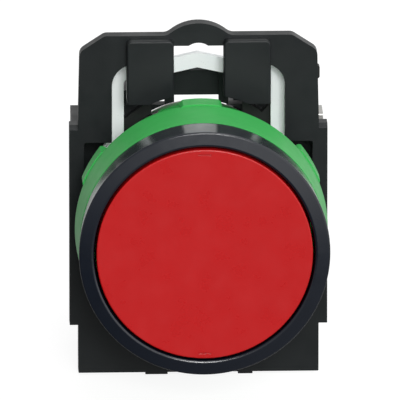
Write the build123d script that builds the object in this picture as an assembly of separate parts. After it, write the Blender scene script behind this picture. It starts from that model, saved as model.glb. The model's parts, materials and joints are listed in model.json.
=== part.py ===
from build123d import *
import os
from math import radians, sin, sqrt

# Industrial panel push button for a 22 mm hole: a flush red head in front of the panel, and a
# clip-on mounting base behind it that carries one contact block. Millimetres, +Z up.
# The origin is on the barrel's axis, in the plane of the panel's front surface. The button
# faces -Y, and its axis runs along +Y into the cabinet.

# ---- Driving dimensions: head, in front of the panel and through it ----
BUTTON_FRONT = -14.5
BEZEL_REAR = -9.0
SKIRT_REAR = -3.0
FLANGE_REAR = -0.3
BARREL_STEP = 4.4
BARREL_REAR = 14.0
BEZEL_R = 14.5
BEZEL_TAPER = 0.3
BEZEL_DISH = 0.25
BEZEL_BORE_R = 12.74
SKIRT_FRONT_R = 14.25
SKIRT_R = 14.65
FLANGE_R = 14.0
LOBE_R = 14.8
LOBE_CHAMFER = 0.45
LOBES = 6
LOBE_ANGLE = 17.0
COLLAR_R = 11.2
BARREL_R = 11.0
BARREL_TAIL_R = 10.8
BARREL_BORE_R = 9.6
GUIDE_R = 5.2
GUIDE_WALL = 1.4
GUIDE_REAR = 14.4
CUP_FLOOR = -3.6
SPIGOT_REAR = -6.5
SPIGOT_R = 13.85
GROOVE_FRONT = 11.0
GROOVE_REAR = 12.4
GROOVE_R = 10.1
GASKET_FRONT = -0.9
FIT_GAP = 0.05

# ---- Driving dimensions: push button and its travel ----
CAP_R = 12.47
CAP_EDGE = 0.15
CAP_MARK_WIDTH = 1.5
CAP_MARK_HEIGHT = 0.16
CAP_MARK_DEPTH = 0.12
RETURN_COIL_R = 8.6
RETURN_WIRE_R = 0.35
RETURN_TURNS = 4.5
FOOT_RELIEF_R = 1.7
CAP_THICKNESS = 2.4
CAP_SKIRT_R = 11.3
CAP_REAR = -8.2
STEM_R = 5.12
STEM_TIP_R = 2.9
STEM_SHOULDER = -9.0
FOOT_R = 10.3
FOOT_FRONT = 15.0
FOOT_REAR = 16.2
TRAVEL = 4.2

# ---- Driving dimensions: mounting base behind the panel ----
BASE_FRONT = 6.0
PLATE_THICKNESS = 1.8
BASE_REAR = 21.0
BASE_HALF_WIDTH = 14.0
SHELL_X = 13.85
REAR_SHELL_X = 13.4
UPPER_SHELL_X = 13.1
SIDE_FLANGE_X = 15.0
SIDE_FLANGE_TOP = 9.9
SIDE_FLANGE_BOTTOM = -14.1
SIDE_RAIL_X = 14.6
SIDE_RAIL_TOP = 9.45
SIDE_RAIL_REAR = 17.0
BASE_BOTTOM = -19.9
FOOT_HEIGHT = 0.25
FEET = ((-6.2, -3.6), (4.6, 6.3))
CELL_X = 9.0
CELL_WIDTH = 8.0
CELL_FRONT = 9.6
CELL_BOTTOM = -18.5
CELL_TOP = -14.6
GUIDE_RIB_X = 4.2
GUIDE_RIB_WIDTH = 0.8
GUIDE_RIB_TOP = -11.2
ARCH_TOP = 20.65
ARCH_LEAN = 0.2
ARCH_CHAMFER_X = 3.1
ARCH_CHAMFER_Z = 1.9
BUMP_TOP = 22.1
BUMP_R = 5.2
SIDE_WALL_TOP = 8.3
WALL_TOP = 12.4
WINDOW_HALF_WIDTH = 10.05
WINDOW_SHOULDER = 17.2
WINDOW_STEP_X = 5.5
WINDOW_TOP = 19.4
POCKET_HALF_WIDTH = 13.3
POCKET_BOTTOM = -9.5
POCKET_TOP = 7.85
SEAT_FRONT = 12.6
SEAT_REAR = 14.2
SEAT_R = 11.2
LEVER_RING_R = 12.5
SEAT_NOTCH = 5.3
SEAT_NOTCH_FLOOR = 10.6
BAY_HALF_WIDTH = 12.5
BAY_HALF_HEIGHT = 12.3
TAB_FRONT = 4.5
TAB_REAR = 7.3
TAB_INNER = 2.9
TAB_OUTER = 8.35
TAB_TOP = 20.35
TAB_BOTTOM = 12.75
TAB_ARC_R = 14.0
LEVER_REACH = 18.6
LEVER_ANGLE = 47.7
LEVER_THUMB_X = 14.3
LEVER_THUMB_TOP = 15.45
LEVER_THUMB_HEIGHT = 1.5

# ---- Driving dimensions: panel clamp ----
HOOP_FRONT = 10.0
HOOP_THICKNESS = 0.9
HOOP_LEG_INNER = 8.55
HOOP_LEG_OUTER = 10.7
HOOP_TOP = 16.3
HOOP_BAR = 1.8
HOOP_PEAK = 1.25
HOOP_GABLE = 5.6
HOOP_ARM_INNER_R = 11.4
HOOP_ARM_OUTER_R = 12.6
HOOP_KNEE = 7.4
HOOP_FOOT_Y = 4.6
HOOP_FOOT_Z = -6.0
SCREW_X = -5.7
SCREW_Z = 15.0
SCREW_R = 1.25
SCREW_PITCH = 0.45
SCREW_HEAD_FRONT = 18.4
SCREW_HEAD_REAR = 20.1
SCREW_HEAD_R = 2.1
BOSS_FRONT = 13.2
BOSS_REAR = 16.2
BOSS_HALF_WIDTH = 2.3
BEAM_BOTTOM = 11.6
BEAM_TOP = 14.85

# ---- Driving dimensions: contact block ----
BLOCK_LEFT = 4.6
BLOCK_RIGHT = 13.9
BLOCK_COVER = 1.0
BLOCK_FRONT = 21.0
SHOULDER_REAR = 28.6
BLOCK_REAR = 43.0
SHOULDER_Z = 12.0
TOWER_Z = 7.4
BLOCK_WALL = 1.1
GRIP_RIBS = 4
GRIP_PITCH = 2.2
GRIP_WIDTH = 0.9
GRIP_HALF_HEIGHT = 4.6
GRIP_DEPTH = 0.3
DRIVER_HOLE_R = 2.35
WIRE_HALF_WIDTH = 1.9
WIRE_DEPTH = 2.0
CARRIER_HALF = 2.6
PLUNGER_X = 9.0
PLUNGER_R = 1.2
PLUNGER_TIP = 16.5
CARRIER_FRONT = 23.4
CARRIER_REAR = 33.0
BRIDGE_Y = 26.4
TERMINAL_X = 9.75
TERMINAL_Z = 8.8
TERMINAL_Y = 24.8
LUG_TOP = 6.9
LUG_RIGHT = 15.15
STRIP = 0.7
TIP = 0.4
TIP_R = 1.0
TIP_Z = 3.9
TIP_SPARE = 0.3
RISER_Z = 5.4
PAD_HALF_WIDTH = 2.4
PAD_TOP = 10.7
CLAMP_THICKNESS = 0.6
CLAMP_HALF_WIDTH = 2.2
CLAMP_BOTTOM = 6.7
CLAMP_TOP = 10.5
CLAMP_GROOVES = (7.3, 9.9)
TERMINAL_HEAD = 1.7
TERMINAL_HEAD_R = 2.1
M3_R = 1.5
M3_PITCH = 0.5


# ---- Shared shapes ----
def block(x0, x1, y0, y1, z0, z1):
    """A rectangular block between two opposite corners."""
    centre = Pos((x0 + x1) / 2, (y0 + y1) / 2, (z0 + z1) / 2)
    return centre * Box(x1 - x0, y1 - y0, z1 - z0)


def disc(radius, y0, y1, x=0.0, z=0.0):
    """A round bar along Y."""
    return Pos(x, (y0 + y1) / 2, z) * Rot(90, 0, 0) * Cylinder(radius, y1 - y0)


def slab(sketch, y0, y1):
    """An outline drawn in X and Z, made solid between two depths."""
    return extrude(Plane.XZ.offset(-y0) * sketch, -(y1 - y0))


def turned(*profile):
    """A body of revolution about the Y axis, from (radius, y) corners."""
    return revolve(make_face(Polyline(*profile, close=True)), Axis.Y)


def ring(inner, outer, y0, y1):
    """A plain ring about the Y axis."""
    return turned((inner, y0), (outer, y0), (outer, y1), (inner, y1))


def around(solid, angle):
    """A copy turned about the Y axis, anticlockwise as the front shows it."""
    return Rot(0, -angle, 0) * solid


def mirrored_pair(solid):
    """A solid with its mirror image in X."""
    return solid + mirror(solid, Plane.YZ)


def coil(mean_r, wire_r, turns, y0, y1, x=0.0, z=0.0):
    """A compression spring along Y, between two depths."""
    height = y1 - y0 - 2 * wire_r
    path = Helix(pitch=height / turns, height=height, radius=mean_r)
    section = Plane(origin=path @ 0, z_dir=path % 0) * Circle(wire_r)
    wire = sweep(section, path=path, is_frenet=True)
    return Pos(x, y0 + wire_r, z) * Rot(-90, 0, 0) * wire


def thread_ridges(radius, pitch, y0, y1):
    """The (radius, y) corners of a ridged shank, from y0 to y1."""
    depth = 0.55 * pitch
    count = int((y1 - y0) / pitch)
    corners = [(radius - depth, y0)]
    for i in range(count):
        start = y0 + i * pitch
        corners.append((radius, start + 0.45 * pitch))
        corners.append((radius, start + 0.6 * pitch))
        corners.append((radius - depth, start + pitch))
    return corners + [(radius - depth, y1)]


def screw(radius, pitch, tip, head_front, head_rear, head_r, x, z):
    """A pan-head screw along Y with its head at the rear and a combined cross and slot drive."""
    profile = [(0, tip)] + thread_ridges(radius, pitch, tip, head_front)
    profile += [(head_r, head_front), (head_r, head_rear - 0.5), (head_r - 0.5, head_rear)]
    body = turned(*profile, (0, head_rear))
    depth = 0.6 * (head_rear - head_front)
    slot = block(-head_r, head_r, head_rear - 0.5 * depth, head_rear, -0.3, 0.3)
    arm = block(-0.55 * head_r, 0.55 * head_r, head_rear - depth, head_rear, -0.4, 0.4)
    body -= slot + arm + Rot(0, 90, 0) * arm
    return Pos(x, 0, z) * body


# ---- Head ----
def bezel_ring():
    """Glossy front ring. Its rear spigot plugs into the head body."""
    body = turned(
        (BEZEL_BORE_R, BUTTON_FRONT),
        (BEZEL_R, BUTTON_FRONT + BEZEL_DISH),
        (BEZEL_R - BEZEL_TAPER, BEZEL_REAR),
        (SPIGOT_R - FIT_GAP, BEZEL_REAR),
        (SPIGOT_R - FIT_GAP, SPIGOT_REAR - FIT_GAP),
        (BEZEL_BORE_R, SPIGOT_REAR - FIT_GAP),
    )
    rims = body.edges().filter_by(GeomType.CIRCLE).group_by(Axis.Y)
    body = fillet(rims[0], 0.28)
    return fillet(body.edges().filter_by(GeomType.CIRCLE).sort_by(SortBy.RADIUS)[-1], 0.2)


def head_body():
    """Head body: bezel cup, six-lobed flange, threadless barrel and inner guide tube."""
    guide_outer = GUIDE_R + GUIDE_WALL
    body = turned(
        (SPIGOT_R, BEZEL_REAR),
        (SKIRT_FRONT_R, BEZEL_REAR),
        (SKIRT_R, SKIRT_REAR - 0.15),
        (SKIRT_R - 0.15, SKIRT_REAR),
        (FLANGE_R, SKIRT_REAR),
        (FLANGE_R, FLANGE_REAR),
        (FLANGE_R - 0.2, FLANGE_REAR),
        (FLANGE_R - 0.2, GASKET_FRONT),
        (COLLAR_R, GASKET_FRONT),
        (COLLAR_R, -0.05),
        (BARREL_R, -0.05),
        (BARREL_R, BARREL_STEP),
        (BARREL_TAIL_R, BARREL_STEP + 0.2),
        (BARREL_TAIL_R, GROOVE_FRONT),
        (GROOVE_R, GROOVE_FRONT),
        (GROOVE_R, GROOVE_REAR),
        (BARREL_TAIL_R, GROOVE_REAR),
        (BARREL_TAIL_R, BARREL_REAR - 0.4),
        (BARREL_TAIL_R - 0.3, BARREL_REAR),
        (BARREL_BORE_R, BARREL_REAR),
        (BARREL_BORE_R, CUP_FLOOR + 2.0),
        (guide_outer, CUP_FLOOR + 2.0),
        (guide_outer, GUIDE_REAR),
        (GUIDE_R, GUIDE_REAR),
        (GUIDE_R, CUP_FLOOR),
        (BEZEL_BORE_R, CUP_FLOOR),
        (BEZEL_BORE_R, SPIGOT_REAR),
        (SPIGOT_R, SPIGOT_REAR),
    )
    lobe_half = LOBE_R * sin(radians(LOBE_ANGLE / 2)) + LOBE_CHAMFER / 2
    lobe = block(-lobe_half, lobe_half, SKIRT_REAR, FLANGE_REAR, FLANGE_R - 0.2, LOBE_R)
    lobe = chamfer(lobe.edges().filter_by(Axis.Y).group_by(Axis.Z)[-1], LOBE_CHAMFER)
    lobe = fillet(lobe.edges().filter_by(Axis.Z).group_by(Axis.Y)[-1], 0.4)
    limit = disc(LOBE_R, SKIRT_REAR, FLANGE_REAR)
    for i in range(LOBES):
        body += around(lobe, i * 360 / LOBES) & limit
    rib = block(guide_outer - 0.3, BARREL_BORE_R + 0.3, CUP_FLOOR + 1.5, BARREL_REAR - 4, -0.5, 0.5)
    for i in range(4):
        body += around(rib, 45 + i * 90)
    return body


def panel_gasket():
    """Rubber ring that seals the flange on the panel. Its rear face lies on the panel."""
    front = GASKET_FRONT
    outer = FLANGE_R - 0.25
    inner = COLLAR_R + 0.1
    middle = (inner + outer) / 2
    lip = 0.35
    return turned(
        (inner, front),
        (outer, front),
        (outer, -0.15),
        (outer - 0.15, 0.0),
        (middle + lip, 0.0),
        (middle, -0.3),
        (middle - lip, 0.0),
        (inner, 0.0),
    )


def plunger_seal():
    """Rubber lip seal round the plunger stem, on the floor of the head's cup."""
    inner = STEM_R + 0.06
    return turned(
        (inner + 0.5, CUP_FLOOR),
        (inner + 0.5, CUP_FLOOR - 0.7),
        (inner, CUP_FLOOR - 1.7),
        (inner + 0.6, CUP_FLOOR - 1.9),
        (inner + 1.3, CUP_FLOOR - 0.9),
        (inner + 2.1, CUP_FLOOR - 0.9),
        (inner + 2.1, CUP_FLOOR),
    )


# ---- Push button ----
def button_cap():
    """Flush red cap with a skirt that slides inside the bezel, and a boss for the stem."""
    underside = BUTTON_FRONT + CAP_THICKNESS
    body = turned(
        (0, BUTTON_FRONT),
        (CAP_R, BUTTON_FRONT),
        (CAP_R, CAP_REAR),
        (CAP_SKIRT_R, CAP_REAR),
        (CAP_SKIRT_R, underside),
        (STEM_TIP_R + 1.5, underside),
        (STEM_TIP_R + 1.5, STEM_SHOULDER - FIT_GAP),
        (STEM_TIP_R + FIT_GAP, STEM_SHOULDER - FIT_GAP),
        (STEM_TIP_R + FIT_GAP, underside),
        (0, underside),
    )
    rim = body.edges().filter_by(GeomType.CIRCLE).group_by(Axis.Y)[0]
    body = fillet(rim, CAP_EDGE)
    half = CAP_MARK_WIDTH / 2
    depth = CAP_MARK_DEPTH
    bottom = CAP_R - 0.7
    mark = block(-half, half, BUTTON_FRONT, BUTTON_FRONT + depth, bottom, bottom + CAP_MARK_HEIGHT)
    return body - mark - around(mark, 180)


def button_plunger():
    """Stem that runs in the guide tube, with a wide foot that reaches every block position."""
    tip_front = BUTTON_FRONT + CAP_THICKNESS + FIT_GAP
    body = turned(
        (0, tip_front),
        (STEM_TIP_R - 0.3, tip_front),
        (STEM_TIP_R, tip_front + 0.3),
        (STEM_TIP_R, STEM_SHOULDER),
        (STEM_R, STEM_SHOULDER),
        (STEM_R, FOOT_FRONT),
        (FOOT_R, FOOT_FRONT),
        (FOOT_R, FOOT_REAR - 0.3),
        (FOOT_R - 0.3, FOOT_REAR),
        (STEM_R, FOOT_REAR),
        (STEM_R - 1.0, FOOT_REAR - 0.8),
        (STEM_R - 1.4, FOOT_REAR - 0.8),
        (STEM_R - 1.8, STEM_SHOULDER + 3),
        (0, STEM_SHOULDER + 3),
    )
    relief = disc(FOOT_RELIEF_R, FOOT_FRONT, FOOT_REAR, 0, (STEM_R + FOOT_R) / 2)
    for i in range(3):
        body -= around(relief, i * 120)
    return body


def return_spring():
    """Compression spring between the cup's floor and the cap."""
    front = BUTTON_FRONT + CAP_THICKNESS + FIT_GAP
    return coil(RETURN_COIL_R, RETURN_WIRE_R, RETURN_TURNS, front, CUP_FLOOR - FIT_GAP)


# ---- Mounting base ----
def arch_outline():
    """Front outline of the base: square foot, chamfered arch and a round bump on top."""
    side = BASE_HALF_WIDTH
    shoulder = ARCH_TOP - ARCH_CHAMFER_Z
    flat = side - ARCH_CHAMFER_X
    plate = make_face(
        Polyline(
            (-side, BASE_BOTTOM),
            (side, BASE_BOTTOM),
            (side, SIDE_FLANGE_TOP),
            (side - ARCH_LEAN, shoulder),
            (flat, ARCH_TOP),
            (-flat, ARCH_TOP),
            (ARCH_LEAN - side, shoulder),
            (-side, SIDE_FLANGE_TOP),
            close=True,
        )
    )
    plate = fillet(plate.vertices().group_by(Axis.Y)[0], 0.12)
    plate = fillet(plate.vertices().group_by(Axis.Y)[-1] + plate.vertices().group_by(Axis.Y)[-2], 1.1)
    bump_centre = BUMP_TOP - BUMP_R
    bump = Pos(0, bump_centre) * Circle(BUMP_R)
    plate += bump - Pos(0, bump_centre - BUMP_R) * Rectangle(2 * BUMP_R, 2 * BUMP_R)
    corners = plate.vertices().filter_by(lambda v: abs(v.Y - ARCH_TOP) < 0.01 and abs(v.X) < BUMP_R)
    return fillet(corners, 1.4)


def window_outline():
    """Upper window of the front plate: round outer corners, a raised middle and a small notch."""
    bottom = POCKET_TOP - 1
    height = WINDOW_SHOULDER - bottom
    pane = Pos(0, bottom + height / 2) * Rectangle(2 * WINDOW_HALF_WIDTH, height)
    pane = fillet(pane.vertices().group_by(Axis.Y)[-1], 2.6)
    height = WINDOW_TOP - bottom
    pane += Pos(0, bottom + height / 2) * Rectangle(2 * WINDOW_STEP_X, height)
    notch_r = 1.95
    return pane + Pos(0, WINDOW_TOP + 0.36 - notch_r) * Circle(notch_r)


def front_tabs():
    """Two plates that hang in the window, cut to a round edge above the flange."""
    tab = block(TAB_INNER, TAB_OUTER, TAB_FRONT, TAB_REAR, TAB_BOTTOM, TAB_TOP)
    tab = fillet(tab.edges().filter_by(Axis.Y).group_by(Axis.Z)[-1], 0.6)
    tab = fillet(tab.edges().filter_by(Axis.Z).group_by(Axis.Y)[0], 0.2)
    tab -= disc(TAB_ARC_R, TAB_FRONT - 1, TAB_REAR + 1)
    return mirrored_pair(tab)


def screw_boss():
    """Boss for the clamp screw at the left, on a beam that two posts hold above the barrel seat."""
    left = SCREW_X - BOSS_HALF_WIDTH
    right = SCREW_X + BOSS_HALF_WIDTH
    boss = block(left, right, BOSS_FRONT, BOSS_REAR, BEAM_BOTTOM, SCREW_Z + BOSS_HALF_WIDTH)
    boss = fillet(boss.edges().filter_by(Axis.Y).group_by(Axis.Z)[-1], 1.8)
    beam = block(left, -left, BOSS_FRONT, BOSS_REAR, BEAM_BOTTOM, BEAM_TOP)
    beam = fillet(beam.edges().filter_by(Axis.X).group_by(Axis.Z)[-1], 0.3)
    post = block(2.6, 3.7, SEAT_FRONT, SEAT_REAR, SEAT_R - 0.9, BEAM_TOP - 0.5)
    return beam + boss + mirrored_pair(post)


def base_shell():
    """Outer walls of the base behind its front plate, stepped in towards the rear."""
    front = BASE_FRONT + PLATE_THICKNESS - 0.2
    middle = (SEAT_FRONT + SEAT_REAR) / 2
    walls = block(-SHELL_X, SHELL_X, front, middle, BASE_BOTTOM, SIDE_WALL_TOP)
    walls += block(-REAR_SHELL_X, REAR_SHELL_X, front, BASE_REAR, BASE_BOTTOM, SIDE_WALL_TOP)
    walls += block(-UPPER_SHELL_X, UPPER_SHELL_X, front, BASE_REAR, 0, WALL_TOP)
    return walls


def side_flanges():
    """Wide flanges at the front of both sides, and the rail behind the left one."""
    rear = BASE_FRONT + PLATE_THICKNESS
    inside = BASE_HALF_WIDTH - 0.3
    low, high = SIDE_FLANGE_BOTTOM, SIDE_FLANGE_TOP
    flange = block(inside, SIDE_FLANGE_X, BASE_FRONT, rear + 0.4, low, high)
    flange = chamfer(flange.edges().filter_by(Axis.X).group_by(Axis.Z)[-1].sort_by(Axis.Y)[0], 0.5)
    rail = block(-SIDE_RAIL_X, 0.2 - REAR_SHELL_X, rear, SIDE_RAIL_REAR, low + 1.5, SIDE_RAIL_TOP)
    return mirrored_pair(flange) + rail


def base_frame():
    """Moulded base: front plate, side walls, barrel seat, rear bay and contact block rails."""
    plate_rear = BASE_FRONT + PLATE_THICKNESS
    body = slab(arch_outline(), BASE_FRONT, plate_rear) + base_shell() + side_flanges()
    for x0, x1 in FEET:
        body += block(x0, x1, BASE_FRONT, BASE_REAR, BASE_BOTTOM - FOOT_HEIGHT, BASE_BOTTOM + 0.2)

    body -= slab(window_outline(), BASE_FRONT, plate_rear)
    half = POCKET_HALF_WIDTH
    pocket = block(-half, half, BASE_FRONT, SEAT_FRONT, POCKET_BOTTOM, POCKET_TOP)
    body -= fillet(pocket.edges().filter_by(Axis.Y), 0.25)
    body -= block(-half, half, plate_rear, SEAT_FRONT, POCKET_TOP - 1, WALL_TOP + 1)
    body -= disc(LEVER_RING_R + 0.3, plate_rear, SEAT_FRONT)

    body -= disc(SEAT_R, BASE_FRONT, BASE_REAR)
    body -= block(-SEAT_NOTCH, SEAT_NOTCH, SEAT_FRONT, BASE_REAR, SEAT_NOTCH_FLOOR, WALL_TOP + 1)
    bay = block(-BAY_HALF_WIDTH, BAY_HALF_WIDTH, SEAT_REAR, BASE_REAR, -BAY_HALF_HEIGHT, BAY_HALF_HEIGHT)
    body -= fillet(bay.edges().filter_by(Axis.Y), 0.5)
    body -= block(-SEAT_NOTCH, SEAT_NOTCH, SEAT_REAR, BASE_REAR, SEAT_NOTCH_FLOOR, WALL_TOP + 1)
    body += screw_boss()
    body -= disc(SEAT_R, BASE_FRONT, SEAT_REAR)
    body -= disc(SCREW_R + 0.15, BOSS_FRONT, BOSS_REAR, SCREW_X, SCREW_Z)

    half = CELL_WIDTH / 2
    for x in (-CELL_X, 0.0, CELL_X):
        body -= block(x - half, x + half, CELL_FRONT, BASE_REAR, CELL_BOTTOM, CELL_TOP)
    half = GUIDE_RIB_WIDTH / 2
    bottom = -BAY_HALF_HEIGHT - 0.2
    for x in (-GUIDE_RIB_X, GUIDE_RIB_X):
        body += block(x - half, x + half, SEAT_REAR - 0.2, BASE_REAR, bottom, GUIDE_RIB_TOP)
    return body + front_tabs()


def locking_lever():
    """Open ring round the barrel with an arm and a square thumb tab at the upper right."""
    front = SEAT_FRONT - 1.3
    rear = SEAT_FRONT - 0.15
    body = ring(SEAT_R, LEVER_RING_R, front, rear)
    body -= block(-SEAT_NOTCH, SEAT_NOTCH, front - 1, rear + 1, 0, 2 * SEAT_R)
    arm = block(SEAT_R + 0.6, LEVER_REACH, front, rear, -1.1, 1.1)
    left = LEVER_THUMB_X - 2.6
    bottom = LEVER_THUMB_TOP - LEVER_THUMB_HEIGHT
    thumb = block(left, LEVER_THUMB_X, front, rear, bottom, LEVER_THUMB_TOP)
    thumb = fillet(thumb.edges().filter_by(Axis.Y), 0.25)
    return body + around(arm, LEVER_ANGLE) + thumb


def lock_spring():
    """Open wire ring that snaps into the barrel's groove."""
    wire_r = 0.36
    mean_r = SEAT_R - 0.05 - wire_r
    middle = (GROOVE_FRONT + GROOVE_REAR) / 2
    wire = Pos(0, middle, 0) * Rot(90, 0, 0) * Torus(mean_r, wire_r)
    return wire - block(-4.5, 4.5, middle - 1, middle + 1, 0, 2 * mean_r)


# ---- Panel clamp ----
def gabled_outline(half_width, top, round_r):
    """Outline of an arch with round corners and a low gable in its top edge."""
    outline = make_face(
        Polyline(
            (-half_width, HOOP_KNEE),
            (-half_width, top),
            (-HOOP_GABLE, top),
            (0, top + HOOP_PEAK),
            (HOOP_GABLE, top),
            (half_width, top),
            (half_width, HOOP_KNEE),
            close=True,
        )
    )
    corners = outline.vertices().filter_by(lambda v: v.Y > top - 0.1 and abs(v.X) > half_width - 0.1)
    return fillet(corners, round_r)


def clamp_hoop():
    """Plated steel hoop that the clamp screw pushes on to the back of the panel."""
    rear = HOOP_FRONT + HOOP_THICKNESS
    inner_r = HOOP_ARM_INNER_R
    outer_r = HOOP_ARM_OUTER_R
    body = slab(gabled_outline(HOOP_LEG_OUTER, HOOP_TOP, 2.0), HOOP_FRONT, rear)
    inside = gabled_outline(HOOP_LEG_INNER, HOOP_TOP - HOOP_BAR, 0.7)
    body -= slab(inside, HOOP_FRONT - 1, rear + 1)
    arms = ring(inner_r, outer_r, HOOP_FRONT, rear)
    shoulder_x = sqrt(outer_r**2 - HOOP_KNEE**2)
    arms -= block(-shoulder_x, shoulder_x, 0, BASE_REAR, HOOP_KNEE, outer_r + 1)
    arms -= block(-outer_r, outer_r, 0, BASE_REAR, -outer_r - 1, HOOP_FOOT_Z)
    body += arms
    gusset = block(HOOP_LEG_INNER, HOOP_LEG_OUTER, HOOP_FRONT, rear, HOOP_KNEE - 0.6, HOOP_KNEE + 0.2)
    body += mirrored_pair(gusset)
    foot_band = ring(inner_r, outer_r, HOOP_FOOT_Y, rear)
    foot = block(5, outer_r, HOOP_FOOT_Y, rear, HOOP_FOOT_Z, HOOP_FOOT_Z + 3.0)
    body += mirrored_pair(foot & foot_band)
    return body - disc(inner_r, HOOP_FRONT - 1, rear + 1)


def clamp_screw():
    """Screw that turns in the boss and pushes the hoop forward."""
    tip = HOOP_FRONT + HOOP_THICKNESS + 0.05
    head = (SCREW_HEAD_FRONT, SCREW_HEAD_REAR, SCREW_HEAD_R)
    return screw(SCREW_R, SCREW_PITCH, tip, *head, SCREW_X, SCREW_Z)


# ---- Contact block ----
def block_outline(grow=0.0):
    """Side outline of the contact block in Y and Z: a tower behind two shoulders."""
    front = BLOCK_FRONT - grow
    shoulder = SHOULDER_REAR + grow
    rear = BLOCK_REAR + grow
    wide = SHOULDER_Z + grow
    narrow = TOWER_Z + grow
    outline = Polyline(
        (front, -wide),
        (shoulder, -wide),
        (shoulder, -narrow),
        (rear, -narrow),
        (rear, narrow),
        (shoulder, narrow),
        (shoulder, wide),
        (front, wide),
        close=True,
    )
    return make_face(outline)


def block_slab(x0, x1, grow=0.0):
    """The contact block's outline between two X positions."""
    return extrude(Plane.YZ.offset(x0) * block_outline(grow), x1 - x0)


def grip_grooves(x0, x1):
    """Finger grooves across one side of the contact block's tower."""
    grooves = []
    for i in range(GRIP_RIBS):
        y = SHOULDER_REAR + 4.0 + i * GRIP_PITCH
        grooves.append(block(x0, x1, y, y + GRIP_WIDTH, -GRIP_HALF_HEIGHT, GRIP_HALF_HEIGHT))
    return Compound(children=grooves)


def contact_housing():
    """Moulded case of the contact block, open on its inner side for the cover."""
    left = BLOCK_LEFT + BLOCK_COVER
    body = block_slab(left, BLOCK_RIGHT)
    body = fillet(body.edges().filter_by(Axis.X).group_by(Axis.Y)[-1], 1.0)
    body -= block_slab(left, BLOCK_RIGHT - BLOCK_WALL, -BLOCK_WALL)
    body -= disc(PLUNGER_R + 0.12, BLOCK_FRONT - 1, BLOCK_FRONT + 2, PLUNGER_X, 0)
    for side in (-1, 1):
        z = side * TERMINAL_Z
        body -= disc(DRIVER_HOLE_R, SHOULDER_REAR - 2, SHOULDER_REAR + 1, TERMINAL_X, z)
        entry_front = TERMINAL_Y + STRIP - 0.2
        ends = sorted((side * (SHOULDER_Z - 2), side * (SHOULDER_Z + 1)))
        left_edge = TERMINAL_X - WIRE_HALF_WIDTH
        right_edge = TERMINAL_X + WIRE_HALF_WIDTH
        body -= block(left_edge, right_edge, entry_front, entry_front + WIRE_DEPTH, *ends)
        edges = sorted((side * 5.2, side * (LUG_TOP + 0.2)))
        body -= block(BLOCK_RIGHT - 2, BLOCK_RIGHT + 1, BLOCK_FRONT - 1, TERMINAL_Y + STRIP + 0.15, *edges)
        hook_z = sorted((side * 9.4, side * 11.3))
        body += block(left + 1.2, BLOCK_RIGHT - 1.6, BLOCK_FRONT - 1.4, BLOCK_FRONT + 0.2, *hook_z)
    return body - grip_grooves(BLOCK_RIGHT - GRIP_DEPTH, BLOCK_RIGHT + 1)


def contact_cover():
    """Clip-on side cover of the contact block."""
    body = block_slab(BLOCK_LEFT, BLOCK_LEFT + BLOCK_COVER - FIT_GAP)
    body = fillet(body.edges().filter_by(Axis.X).group_by(Axis.Y)[-1], 1.0)
    return body - grip_grooves(BLOCK_LEFT - 1, BLOCK_LEFT + GRIP_DEPTH)


def contact_plunger():
    """Plunger that the push button's foot drives, with the carrier for the bridge."""
    centre = TERMINAL_X
    body = disc(PLUNGER_R, PLUNGER_TIP, CARRIER_FRONT + 1, PLUNGER_X, 0)
    body = fillet(body.edges().group_by(Axis.Y)[0], 0.35)
    half = CARRIER_HALF
    body += block(centre - half, centre + half, CARRIER_FRONT, CARRIER_REAR, -half, half)
    window_front = BRIDGE_Y - 0.25
    body -= block(centre - 1.75, centre + 1.75, window_front, CARRIER_REAR - 1.4, -4, 4)
    body += disc(1.1, CARRIER_REAR - 0.2, CARRIER_REAR + 1.2, centre, 0)
    return body


def contact_bridge():
    """Brass bridge with two silver-alloy tips, carried in the plunger's window."""
    centre = TERMINAL_X
    bar = block(centre - 1.5, centre + 1.5, BRIDGE_Y, BRIDGE_Y + STRIP, -5.0, 5.0)
    bar = fillet(bar.edges().filter_by(Axis.Y), 0.6)
    return bar


def bridge_tips():
    """Silver-alloy tips on the bridge's rear face."""
    tips = [
        disc(TIP_R, BRIDGE_Y + STRIP, BRIDGE_Y + STRIP + TIP, TERMINAL_X, side * TIP_Z)
        for side in (-1, 1)
    ]
    return Compound(children=tips)


def bridge_spring():
    """Contact pressure spring between the bridge and the rear of the plunger's window."""
    return coil(1.1, 0.18, 4, BRIDGE_Y + STRIP + 0.03, CARRIER_REAR - 1.43, TERMINAL_X, 0)


def plunger_spring():
    """Spring that returns the plunger, between the carrier and the rear wall."""
    return coil(1.9, 0.25, 5, CARRIER_REAR + 0.03, BLOCK_REAR - BLOCK_WALL - 0.03, TERMINAL_X, 0)


def terminal(side):
    """Plated terminal: screw pad with a lug at the side, riser and fixed contact arm."""
    x0 = TERMINAL_X - PAD_HALF_WIDTH
    x1 = TERMINAL_X + PAD_HALF_WIDTH
    riser = RISER_Z
    arm_y = BRIDGE_Y + STRIP + TIP + TRAVEL + TIP_SPARE + TIP
    pad_rear = TERMINAL_Y + STRIP
    body = block(x0, x1, TERMINAL_Y, pad_rear, riser, PAD_TOP)
    body += block(x0, x1, TERMINAL_Y, arm_y + STRIP, riser, riser + STRIP)
    body += block(x0 + 0.8, x1 - 0.8, arm_y, arm_y + STRIP, 3.0, riser + STRIP)
    lug_front = BLOCK_FRONT + 0.6
    body += block(x1 - 0.2, LUG_RIGHT, TERMINAL_Y, pad_rear, riser, LUG_TOP)
    lug = block(LUG_RIGHT - STRIP, LUG_RIGHT, lug_front, pad_rear, riser, LUG_TOP)
    body += fillet(lug.edges().filter_by(Axis.X).group_by(Axis.Y)[0].sort_by(Axis.Z)[-1], 0.2)
    body -= disc(M3_R + 0.15, TERMINAL_Y - 1, pad_rear + 1, TERMINAL_X, TERMINAL_Z)
    return body if side > 0 else mirror(body, Plane.XY)


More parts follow.
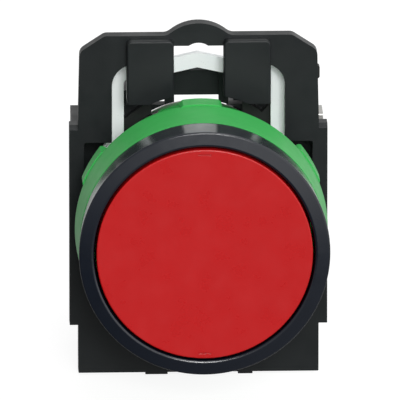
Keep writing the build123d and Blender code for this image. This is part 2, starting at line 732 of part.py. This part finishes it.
def fixed_tips():
    """Silver-alloy tips on the front of the two fixed contact arms."""
    front = BRIDGE_Y + STRIP + TIP + TRAVEL + TIP_SPARE
    tips = [disc(TIP_R, front, front + TIP, TERMINAL_X, side * TIP_Z) for side in (-1, 1)]
    return Compound(children=tips)


def clamp_plate(side):
    """Square plate that the terminal screw presses on the wire."""
    front = TERMINAL_Y + STRIP + FIT_GAP
    left = TERMINAL_X - CLAMP_HALF_WIDTH
    right = TERMINAL_X + CLAMP_HALF_WIDTH
    body = block(left, right, front, front + CLAMP_THICKNESS, CLAMP_BOTTOM, CLAMP_TOP)
    for z in CLAMP_GROOVES:
        body -= block(TERMINAL_X - 3, TERMINAL_X + 3, front - 1, front + 0.15, z, z + 0.25)
    body -= disc(M3_R + 0.15, front - 1, front + 1, TERMINAL_X, TERMINAL_Z)
    return body if side > 0 else mirror(body, Plane.XY)


def terminal_screw(side):
    """Screw of one terminal, reached from behind."""
    head_front = TERMINAL_Y + STRIP + FIT_GAP + CLAMP_THICKNESS + 0.03
    tip = BLOCK_FRONT + BLOCK_WALL + 0.25
    head = (head_front, head_front + TERMINAL_HEAD, TERMINAL_HEAD_R)
    return screw(M3_R, M3_PITCH, tip, *head, TERMINAL_X, side * TERMINAL_Z)


def sub_parts():
    """Every sub-part by name."""
    parts = {
        "bezel_ring": bezel_ring(),
        "head_body": head_body(),
        "panel_gasket": panel_gasket(),
        "plunger_seal": plunger_seal(),
        "button_cap": button_cap(),
        "button_plunger": button_plunger(),
        "return_spring": return_spring(),
        "base_frame": base_frame(),
        "locking_lever": locking_lever(),
        "lock_spring": lock_spring(),
        "clamp_hoop": clamp_hoop(),
        "clamp_screw": clamp_screw(),
        "contact_housing": contact_housing(),
        "contact_cover": contact_cover(),
        "contact_plunger": contact_plunger(),
        "contact_bridge": contact_bridge(),
        "bridge_tips": bridge_tips(),
        "fixed_tips": fixed_tips(),
        "bridge_spring": bridge_spring(),
        "plunger_spring": plunger_spring(),
    }
    for name, side in (("upper", 1), ("lower", -1)):
        parts[f"{name}_terminal"] = terminal(side)
        parts[f"{name}_clamp_plate"] = clamp_plate(side)
        parts[f"{name}_terminal_screw"] = terminal_screw(side)
    return parts


os.makedirs("parts", exist_ok=True)
for name, shape in sub_parts().items():
    export_step(shape, f"parts/{name}.step")
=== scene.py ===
import json
from math import cos, pi, radians, sin, tau

import bmesh
import bpy
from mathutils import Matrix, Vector


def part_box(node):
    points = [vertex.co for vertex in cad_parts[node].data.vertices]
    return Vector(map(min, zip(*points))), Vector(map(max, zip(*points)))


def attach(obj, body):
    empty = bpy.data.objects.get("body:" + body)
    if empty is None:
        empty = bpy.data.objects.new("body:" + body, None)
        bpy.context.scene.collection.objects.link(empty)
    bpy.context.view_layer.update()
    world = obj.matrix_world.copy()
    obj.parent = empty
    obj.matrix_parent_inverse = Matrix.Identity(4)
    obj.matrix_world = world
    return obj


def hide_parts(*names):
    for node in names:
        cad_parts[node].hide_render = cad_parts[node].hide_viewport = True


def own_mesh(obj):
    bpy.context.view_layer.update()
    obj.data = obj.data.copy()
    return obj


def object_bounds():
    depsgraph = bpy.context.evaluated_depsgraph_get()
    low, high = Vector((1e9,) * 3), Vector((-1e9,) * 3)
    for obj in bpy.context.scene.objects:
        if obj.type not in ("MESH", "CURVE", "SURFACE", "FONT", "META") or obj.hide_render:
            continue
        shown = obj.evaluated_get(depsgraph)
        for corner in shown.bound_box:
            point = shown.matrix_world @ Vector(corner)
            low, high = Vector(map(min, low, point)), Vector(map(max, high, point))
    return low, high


MM = 0.001
SCREW_SIDES = 40
STEPS_PER_PITCH = 10
CROWN_STEPS = 6
WIRE_SIDES = 12
STEPS_PER_COIL = 48
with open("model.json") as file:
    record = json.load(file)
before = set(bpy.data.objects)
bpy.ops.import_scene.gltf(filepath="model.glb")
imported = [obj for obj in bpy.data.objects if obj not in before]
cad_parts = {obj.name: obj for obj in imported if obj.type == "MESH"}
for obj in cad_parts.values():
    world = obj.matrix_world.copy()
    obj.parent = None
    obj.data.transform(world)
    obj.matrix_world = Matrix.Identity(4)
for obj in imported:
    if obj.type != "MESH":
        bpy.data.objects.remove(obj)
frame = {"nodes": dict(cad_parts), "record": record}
cad_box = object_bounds()
scene = bpy.context.scene


# ---- Materials: every texture is in the part's own frame, so it keeps its real scale ----
class Look:
    """A node material that is built up in layers of colour, roughness and relief."""

    def __init__(self, name, roughness, ior=1.5, metallic=0.0, edge=0.05 * MM):
        self.name = name
        self.material = bpy.data.materials.new(name)
        self.material.use_nodes = True
        self.tree = self.material.node_tree
        self.shader = self.tree.nodes["Principled BSDF"]
        self.shader.inputs["Roughness"].default_value = roughness
        self.shader.inputs["IOR"].default_value = ior
        self.shader.inputs["Metallic"].default_value = metallic
        self.place = self.tree.nodes.new("ShaderNodeTexCoord").outputs["Object"]
        edges = self.tree.nodes.new("ShaderNodeBevel")
        edges.samples = 4
        edges.inputs["Radius"].default_value = edge
        self.relief = edges.outputs["Normal"]

    def link(self, output, socket):
        self.tree.links.new(output, socket)

    def stretched(self, scale, turn=(0, 0, 0)):
        """The part's own coordinates, stretched for brushed or drawn surfaces."""
        node = self.tree.nodes.new("ShaderNodeMapping")
        node.inputs["Scale"].default_value = scale
        node.inputs["Rotation"].default_value = turn
        self.link(self.place, node.inputs["Vector"])
        return node.outputs["Vector"]

    def noise(self, size, detail=3.0, place=None, roughness=0.55):
        """Noise with features of that size in metres."""
        node = self.tree.nodes.new("ShaderNodeTexNoise")
        node.inputs["Scale"].default_value = 1 / size
        node.inputs["Detail"].default_value = detail
        node.inputs["Roughness"].default_value = roughness
        self.link(place or self.place, node.inputs["Vector"])
        return node.outputs["Fac"]

    def cells(self, size, feature="F1"):
        """Distance to the nearest of scattered points, for pebbled and pitted surfaces."""
        node = self.tree.nodes.new("ShaderNodeTexVoronoi")
        node.feature = feature
        node.inputs["Scale"].default_value = 1 / size
        self.link(self.place, node.inputs["Vector"])
        return node.outputs["Distance"]

    def ramp(self, value, *stops):
        """A colour for each value, from (position, colour) stops."""
        node = self.tree.nodes.new("ShaderNodeValToRGB")
        elements = node.color_ramp.elements
        while len(elements) < len(stops):
            elements.new(0.5)
        for element, (position, colour) in zip(elements, stops):
            element.position = position
            element.color = (*colour, 1)
        self.link(value, node.inputs["Fac"])
        return node.outputs["Color"]

    def mapped(self, value, low, high, start=0.3, end=0.7):
        """The value spread over a new range."""
        node = self.tree.nodes.new("ShaderNodeMapRange")
        node.inputs["From Min"].default_value = start
        node.inputs["From Max"].default_value = end
        node.inputs["To Min"].default_value = low
        node.inputs["To Max"].default_value = high
        self.link(value, node.inputs["Value"])
        return node.outputs["Result"]

    def mix(self, factor, first, second, blend="MIX"):
        """Two colours mixed by a factor."""
        node = self.tree.nodes.new("ShaderNodeMix")
        node.data_type = "RGBA"
        node.blend_type = blend
        sockets = [s for s in node.inputs if s.type == "RGBA"]
        self.link(first, sockets[0])
        self.link(second, sockets[1])
        if isinstance(factor, float):
            node.inputs[0].default_value = factor
        else:
            self.link(factor, node.inputs[0])
        return next(s for s in node.outputs if s.type == "RGBA")

    def colour(self, output):
        self.link(output, self.shader.inputs["Base Color"])

    def roughness(self, output):
        self.link(output, self.shader.inputs["Roughness"])

    def bump(self, height, depth, strength=1.0):
        """Fine relief of that depth in metres, on top of any earlier relief."""
        node = self.tree.nodes.new("ShaderNodeBump")
        node.inputs["Strength"].default_value = strength
        node.inputs["Distance"].default_value = depth
        self.link(height, node.inputs["Height"])
        self.link(self.relief, node.inputs["Normal"])
        self.relief = node.outputs["Normal"]
        self.link(self.relief, self.shader.inputs["Normal"])


def shade(colour, factor):
    return tuple(min(1.0, c * factor) for c in colour)


def moulded(
    name, colour, roughness, grain=0.12 * MM, depth=0.0012 * MM, spread=0.06, ior=1.5, fleck=0.94
):
    """Moulded plastic: faint flow marks in colour and gloss, and the mould's fine grain."""
    look = Look(name, roughness, ior)
    flow = look.noise(4 * MM, 4)
    speck = look.noise(0.35 * MM, 2)
    base = look.ramp(flow, (0.3, shade(colour, 1 - spread)), (0.7, shade(colour, 1 + spread)))
    grit = look.ramp(speck, (0.35, (fleck, fleck, fleck)), (0.65, (1, 1, 1)))
    look.colour(look.mix(1.0, base, grit, "MULTIPLY"))
    look.roughness(look.mapped(look.noise(2.2 * MM, 5), roughness - 0.05, roughness + 0.06))
    look.bump(look.noise(grain, 2), depth)
    return look


def polished_plastic(name, colour, roughness, ior=1.5):
    """Glossy moulding: a smooth skin with a very slight orange peel and hairline wipe marks."""
    look = moulded(name, colour, roughness, grain=0.6 * MM, depth=0.0008 * MM, spread=0.05, ior=ior)
    hair = look.noise(0.3 * MM, 3, look.stretched((1, 1, 0.08), (0, 0.6, 0)))
    look.bump(hair, 0.0002 * MM)
    return look


def plated(name, dark, light, roughness, brush=(1, 1, 0.06), grain=0.25 * MM, metallic=1.0):
    """Plated sheet or wire: brushed along one way, with cloudy patches and small pits in the plating."""
    look = Look(name, roughness, 1.5, metallic, 0.04 * MM)
    cloud = look.ramp(look.noise(3 * MM, 5), (0.3, dark), (0.7, light))
    pits = look.ramp(look.cells(0.5 * MM), (0.04, (0.8, 0.8, 0.8)), (0.12, (1, 1, 1)))
    look.colour(look.mix(1.0, cloud, pits, "MULTIPLY"))
    lines = look.noise(grain, 4, look.stretched(brush))
    look.roughness(look.mapped(lines, roughness - 0.07, roughness + 0.1))
    look.bump(lines, 0.002 * MM)
    return look


def sparked_plastic(name, colour, roughness, ior=1.35):
    """Black moulding with the pebbled grain of a spark-eroded mould, rubbed smoother in patches."""
    look = moulded(name, colour, roughness, grain=0.1 * MM, depth=0.002 * MM, spread=0.1, ior=ior)
    look.bump(look.cells(0.22 * MM, "SMOOTH_F1"), 0.003 * MM)
    scuffs = look.noise(0.5 * MM, 4, look.stretched((0.12, 1, 1), (0, 0.5, 0.3)))
    look.bump(scuffs, 0.0006 * MM)
    return look


def materials():
    """The finish of each material slot."""
    looks = (
        moulded(
            "red_plastic", (0.46, 0.006, 0.007), 0.3,
            grain=0.25 * MM, depth=0.0004 * MM, spread=0.015, ior=1.42, fleck=0.985,
        ),
        polished_plastic("bezel_plastic", (0.003, 0.0052, 0.0105), 0.15),
        moulded(
            "green_plastic", (0.032, 0.4, 0.075), 0.45,
            grain=0.2 * MM, depth=0.001 * MM, spread=0.04, ior=1.42, fleck=0.97,
        ),
        sparked_plastic("base_plastic", (0.0035, 0.0055, 0.0062), 0.42),
        moulded(
            "rubber", (0.012, 0.012, 0.012), 0.75,
            grain=0.08 * MM, depth=0.003 * MM, spread=0.15,
        ),
        moulded(
            "plunger_plastic", (0.62, 0.6, 0.53), 0.4,
            grain=0.2 * MM, depth=0.001 * MM, spread=0.04,
        ),
        sparked_plastic("lever_plastic", (0.012, 0.013, 0.013), 0.45),
        plated("spring_steel", (0.42, 0.42, 0.41), (0.56, 0.56, 0.54), 0.28),
        plated("plated_steel", (0.93, 0.97, 0.98), (0.97, 1.0, 1.0), 0.36, metallic=0.0),
        plated("screw_steel", (0.5, 0.5, 0.48), (0.62, 0.61, 0.58), 0.3),
        sparked_plastic("block_plastic", (0.013, 0.013, 0.015), 0.5),
        sparked_plastic("cover_plastic", (0.022, 0.022, 0.025), 0.5),
        moulded(
            "carrier_plastic", (0.03, 0.16, 0.06), 0.42,
            grain=0.2 * MM, depth=0.001 * MM, spread=0.06,
        ),
        plated("brass", (0.5, 0.33, 0.12), (0.62, 0.43, 0.17), 0.32),
        plated("terminal_metal", (0.45, 0.45, 0.43), (0.58, 0.57, 0.54), 0.3),
        plated("silver", (0.75, 0.74, 0.71), (0.85, 0.84, 0.81), 0.25),
    )
    return {look.name: look.material for look in looks}


finishes = materials()
for sub_part in frame["record"]["subparts"]:
    node = frame["nodes"][sub_part["node"]]
    for place in node.material_slots:
        place.material = finishes[sub_part["material_slot"]]


# ---- Threaded screws and wound springs ----
SLOTS = {sub_part["node"]: sub_part["material_slot"] for sub_part in frame["record"]["subparts"]}
BODIES = {node: name for name, nodes in frame["record"]["behaviour"]["bodies"].items() for node in nodes}


def piece(name, mesh, node):
    """An object that stands for a CAD node, on its body and in its material."""
    for face in mesh.polygons:
        face.use_smooth = True
    mesh.materials.append(finishes[SLOTS[node]])
    made = bpy.data.objects.new(name, mesh)
    scene.collection.objects.link(made)
    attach(made, BODIES[node])
    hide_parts(node)
    return made


def middle(low, high):
    """The point halfway between two corners."""
    return Vector([(a + b) / 2 for a, b in zip(low, high)])


def skin(rows, name):
    """A tube mesh through rings of points, with a flat cap at each end."""
    shape = bmesh.new()
    rings = [[shape.verts.new(point) for point in row] for row in rows]
    around = len(rings[0])
    for low, high in zip(rings, rings[1:]):
        for i in range(around):
            after = (i + 1) % around
            shape.faces.new((low[i], low[after], high[after], high[i]))
    shape.faces.new(list(reversed(rings[0])))
    shape.faces.new(rings[-1])
    bmesh.ops.recalc_face_normals(shape, faces=shape.faces)
    mesh = bpy.data.meshes.new(name)
    shape.to_mesh(mesh)
    shape.free()
    return mesh


def shank_radius(radius, pitch, turn, y, tip, end):
    """The thread's surface: a rounded ridge that winds along the shank and fades out at both ends."""
    steepness = 3.2
    thread_depth = 0.6 * pitch
    phase = (y / pitch - turn) % 1.0
    ridge = min(1.0, max(0.0, steepness / 2 - steepness * abs(phase - 0.5)))
    fade = min(1.0, (y - tip) / pitch, (end - y) / pitch)
    return radius - thread_depth * (1 - ridge * max(0.0, fade))


def threaded_screw(node, radius, pitch, head_depth):
    """A pan-head screw with a wound thread and a domed head, cut with a cross and a slot."""
    low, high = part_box(node)
    centre = middle(low, high)
    tip, rear = low[1], high[1]
    head_r = (high[0] - low[0]) / 2
    under_head = rear - head_depth
    chamfer = 0.12 * MM

    def circle(y, size):
        points = []
        for i in range(SCREW_SIDES):
            turn = i / SCREW_SIDES
            r = size(turn) if callable(size) else size
            points.append((centre.x + r * cos(tau * turn), y, centre.z + r * sin(tau * turn)))
        return points

    rows = [circle(tip, radius - pitch)]
    count = int((under_head - tip) / pitch * STEPS_PER_PITCH)
    for k in range(1, count + 1):
        y = tip + (under_head - tip) * k / count
        rows.append(circle(y, lambda turn: shank_radius(radius, pitch, turn, y, tip, under_head)))
    crown = 0.45 * head_depth
    rows.append(circle(under_head, head_r - chamfer))
    rows.append(circle(under_head + chamfer, head_r))
    rows.append(circle(rear - crown, head_r))
    for k in range(1, CROWN_STEPS + 1):
        bend = k / CROWN_STEPS * pi / 2
        rows.append(circle(rear - crown * (1 - sin(bend)), head_r - crown * (1 - cos(bend))))
    name = node + "_threaded"
    made = piece(name, skin(rows, name), node)
    return cut_drive(made, centre, rear, head_r, head_depth)


def cut_drive(made, centre, rear, head_r, head_depth):
    """Cuts a tapered cross and a shallow slot into the screw's head."""
    shape = bmesh.new()
    corners = ((-1, -1), (1, -1), (1, 1), (-1, 1))
    cross_length = 0.55 * head_r
    cross_width = 0.2 * MM
    cross_depth = 0.62 * head_depth
    slot_length = 1.2 * head_r
    slot_width = 0.22 * MM
    slot_depth = 0.3 * head_depth
    above_head = rear + 0.1 * MM
    cuts = (
        (cross_length, cross_width, cross_depth),
        (cross_width, cross_length, cross_depth),
        (slot_length, slot_width, slot_depth),
    )
    for half_x, half_z, depth in cuts:
        rings = []
        for y, size in ((rear - depth, 0.75), (above_head, 1.1)):
            x = half_x if half_x > head_r else half_x * size
            z = half_z * size
            rings.append([shape.verts.new((centre.x + a * x, y, centre.z + b * z)) for a, b in corners])
        for i in range(4):
            after = (i + 1) % 4
            shape.faces.new((rings[0][i], rings[0][after], rings[1][after], rings[1][i]))
        shape.faces.new(list(reversed(rings[0])))
        shape.faces.new(rings[1])
    bmesh.ops.recalc_face_normals(shape, faces=shape.faces)
    mesh = bpy.data.meshes.new("drive")
    shape.to_mesh(mesh)
    shape.free()
    cutter = bpy.data.objects.new("drive", mesh)
    scene.collection.objects.link(cutter)
    cut = made.modifiers.new("drive", "BOOLEAN")
    cut.object = cutter
    cut.operation = "DIFFERENCE"
    cut.solver = "EXACT"
    cut.use_self = True
    bpy.context.view_layer.update()
    world = made.evaluated_get(bpy.context.evaluated_depsgraph_get())
    made.data = bpy.data.meshes.new_from_object(world)
    made.modifiers.clear()
    bpy.data.objects.remove(cutter)
    made.data.set_sharp_from_angle(angle=radians(35))
    return made


def wound_spring(node, wire_r, open_turns, name):
    """A compression spring with closed, ground ends, as wide and as long as its CAD node."""
    low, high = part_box(node)
    centre = middle(low, high)
    mean_r = (high[0] - low[0]) / 2 - wire_r
    start, end = low[1] + wire_r, high[1] - wire_r
    closed = 0.9
    closed_pitch = 2.05 * wire_r
    ground = 0.45 * wire_r
    turns = open_turns + 2 * closed
    steps = int(turns * STEPS_PER_COIL)
    closed_rise = closed * closed_pitch
    open_rise = end - start - 2 * closed_rise

    def along(turn):
        if turn < closed:
            return start + closed_rise * turn / closed
        if turn > turns - closed:
            return end - closed_rise * (turns - turn) / closed
        return start + closed_rise + open_rise * (turn - closed) / open_turns

    def ring(k):
        turn = turns * k / steps
        out = Vector((cos(tau * turn), 0, sin(tau * turn)))
        wire_centre = Vector((centre.x, along(turn), centre.z)) + out * mean_r
        points = []
        for i in range(WIRE_SIDES):
            angle = tau * i / WIRE_SIDES
            point = wire_centre + out * wire_r * cos(angle) + Vector((0, wire_r * sin(angle), 0))
            point.y = min(max(point.y, low[1] + ground), high[1] - ground)
            points.append(point)
        return points

    return piece(name, skin([ring(k) for k in range(steps + 1)], name), node)


def pressed(spring):
    """Gives the spring its own copy of its mesh."""
    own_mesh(spring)


threaded_screw("clamp_screw", 1.25 * MM, 0.45 * MM, 1.7 * MM)
threaded_screw("upper_terminal_screw", 1.5 * MM, 0.5 * MM, 1.7 * MM)
threaded_screw("lower_terminal_screw", 1.5 * MM, 0.5 * MM, 1.7 * MM)
cap_spring = wound_spring("return_spring", 0.35 * MM, 3.0, "return_spring_coils")
pressed(cap_spring)
carrier_spring = wound_spring("plunger_spring", 0.25 * MM, 4.0, "plunger_spring_coils")
pressed(carrier_spring)
wound_spring("bridge_spring", 0.18 * MM, 3.0, "bridge_spring_coils")


# ---- Stage, light and camera ----
def pale_floor(size, level):
    """A plain floor under the base's feet, seen by the camera but not in reflections."""
    shape = bmesh.new()
    bmesh.ops.create_grid(shape, x_segments=4, y_segments=4, size=size / 2)
    mesh = bpy.data.meshes.new("floor")
    shape.to_mesh(mesh)
    shape.free()
    floor = bpy.data.objects.new("floor", mesh)
    floor.location.z = level
    scene.collection.objects.link(floor)
    paint = bpy.data.materials.new("floor_paint")
    paint.use_nodes = True
    shader = paint.node_tree.nodes["Principled BSDF"]
    shader.inputs["Base Color"].default_value = (0.25, 0.25, 0.25, 1)
    shader.inputs["Roughness"].default_value = 0.9
    shader.inputs["Specular IOR Level"].default_value = 0.0
    shader.inputs["Emission Color"].default_value = (1, 1, 1, 1)
    shader.inputs["Emission Strength"].default_value = 0.88
    mesh.materials.append(paint)
    floor.visible_glossy = False
    floor.visible_diffuse = False
    return floor


def studio_world():
    """White behind the object, and a soft studio round it that is dark below and bright above."""
    world = bpy.data.worlds.new("studio")
    world.use_nodes = True
    tree = world.node_tree
    tree.nodes.clear()

    def add(kind, **values):
        node = tree.nodes.new(kind)
        for key, value in values.items():
            setattr(node, key, value)
        return node

    def spread(source, start, end, low, high):
        node = add("ShaderNodeMapRange", interpolation_type="SMOOTHSTEP")
        for key, value in (("From Min", start), ("From Max", end), ("To Min", low), ("To Max", high)):
            node.inputs[key].default_value = value
        tree.links.new(source, node.inputs["Value"])
        return node.outputs["Result"]

    def product(first, second):
        node = add("ShaderNodeMath", operation="MULTIPLY")
        tree.links.new(first, node.inputs[0])
        tree.links.new(second, node.inputs[1])
        return node.outputs[0]

    # In front it is dim below and brighter to the right; at the rear it is more even.
    way = add("ShaderNodeSeparateXYZ")
    tree.links.new(add("ShaderNodeTexCoord").outputs["Generated"], way.inputs["Vector"])
    x, y, z = way.outputs
    front = product(spread(z, -0.3, -0.02, 0.2, 0.95), spread(x, -0.4, 0.4, 0.5, 1.8))
    rear = product(spread(z, -0.6, -0.05, 0.5, 1.0), spread(x, -0.3, 0.3, 0.62, 0.9))
    level = add("ShaderNodeMix", data_type="FLOAT")
    tree.links.new(spread(y, -0.3, 0.3, 0.0, 1.0), level.inputs[0])
    tree.links.new(front, level.inputs[2])
    tree.links.new(rear, level.inputs[3])
    less = spread(add("ShaderNodeLightPath").outputs["Is Diffuse Ray"], 0.0, 1.0, 1.0, 0.5)
    soft = add("ShaderNodeBackground")
    soft.inputs["Color"].default_value = (1, 1, 1, 1)
    tree.links.new(product(level.outputs[0], less), soft.inputs["Strength"])
    white = add("ShaderNodeBackground")
    white.inputs["Color"].default_value = (1, 1, 1, 1)
    white.inputs["Strength"].default_value = 1.1
    chosen = add("ShaderNodeMixShader")
    tree.links.new(add("ShaderNodeLightPath").outputs["Is Camera Ray"], chosen.inputs[0])
    tree.links.new(soft.outputs[0], chosen.inputs[1])
    tree.links.new(white.outputs[0], chosen.inputs[2])
    tree.links.new(chosen.outputs[0], add("ShaderNodeOutputWorld").inputs["Surface"])
    scene.world = world


def direction(azimuth, elevation):
    """The unit vector from the object towards a viewer at that angle, in degrees."""
    a, e = radians(azimuth), radians(elevation)
    return Vector((sin(a) * cos(e), -cos(a) * cos(e), sin(e)))


def soft_light(name, azimuth, elevation, distance, size, watts):
    """A square area light that faces the origin."""
    data = bpy.data.lights.new(name, "AREA")
    data.size = size
    data.energy = watts
    lamp = bpy.data.objects.new(name, data)
    back = direction(azimuth, elevation)
    lamp.location = back * distance
    lamp.rotation_euler = back.to_track_quat("Z", "Y").to_euler()
    scene.collection.objects.link(lamp)
    return lamp


def photo_camera():
    """A long lens at the photograph's angle, centred a little above the barrel's axis."""
    azimuth, elevation, distance = -2.04, 15.42, 2.0
    above_axis = 2.42 * MM
    left_of_axis = 0.04 * MM
    data = bpy.data.cameras.new("camera")
    data.sensor_width = 36
    data.lens = 1553
    data.clip_start = 0.05
    data.clip_end = 20
    camera = bpy.data.objects.new("camera", data)
    back = direction(azimuth, elevation)
    right = Vector((cos(radians(azimuth)), sin(radians(azimuth)), 0))
    up = back.cross(right)
    aim = up * above_axis - right * left_of_axis
    camera.location = aim + back * distance
    camera.rotation_euler = back.to_track_quat("Z", "Y").to_euler()
    scene.collection.objects.link(camera)
    scene.camera = camera


scene.view_settings.view_transform = "Standard"
studio_world()
pale_floor(size=3.0, level=cad_box[0][2])
soft_light("key", azimuth=3, elevation=20, distance=1.2, size=0.3, watts=9.3)
soft_light("top", azimuth=20, elevation=65, distance=1.2, size=0.6, watts=3)
photo_camera()
